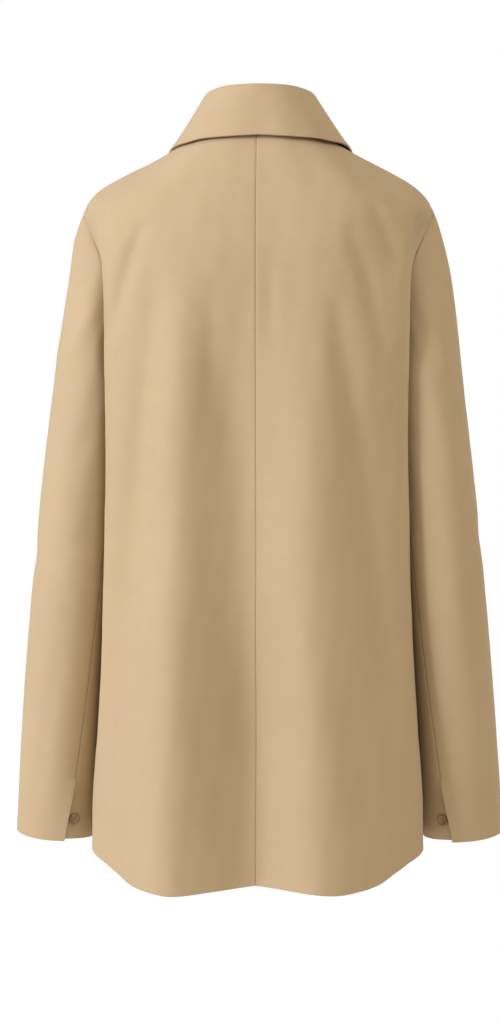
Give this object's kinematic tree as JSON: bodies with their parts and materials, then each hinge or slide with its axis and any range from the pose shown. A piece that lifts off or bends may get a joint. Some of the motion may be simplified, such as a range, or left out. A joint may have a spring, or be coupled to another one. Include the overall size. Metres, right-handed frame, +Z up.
{
  "type": "raincoat",
  "caption": "Hip-length raincoat in worn form, hollow, with a fold-over collar, buttoned front, two-piece sleeves with vented cuffs and a curved hem.",
  "frame": {"origin": "midway between the neck ends of the two shoulder seams, where the coat hangs on the wearer's shoulders", "axes": "+Z up along the body, -Y towards the coat's front, +X towards the wearer's left"},
  "size_m": [0.538, 0.255, 0.8704],
  "materials": {
    "cloth": "tan cotton twill with a soft dry hand",
    "button": "tan horn-look resin, satin"
  },
  "bodies": {
    "root": {"back_left": "cloth", "back_right": "cloth", "front_left": "cloth", "front_right": "cloth", "sleeve_top_left": "cloth", "sleeve_under_left": "cloth", "sleeve_top_right": "cloth", "sleeve_under_right": "cloth", "collar_stand": "cloth", "collar_fall": "cloth", "button_front_1": "button", "button_front_2": "button", "button_front_3": "button", "button_front_4": "button", "button_front_5": "button", "button_cuff_left": "button", "button_cuff_right": "button"}
  },
  "joints": []
}
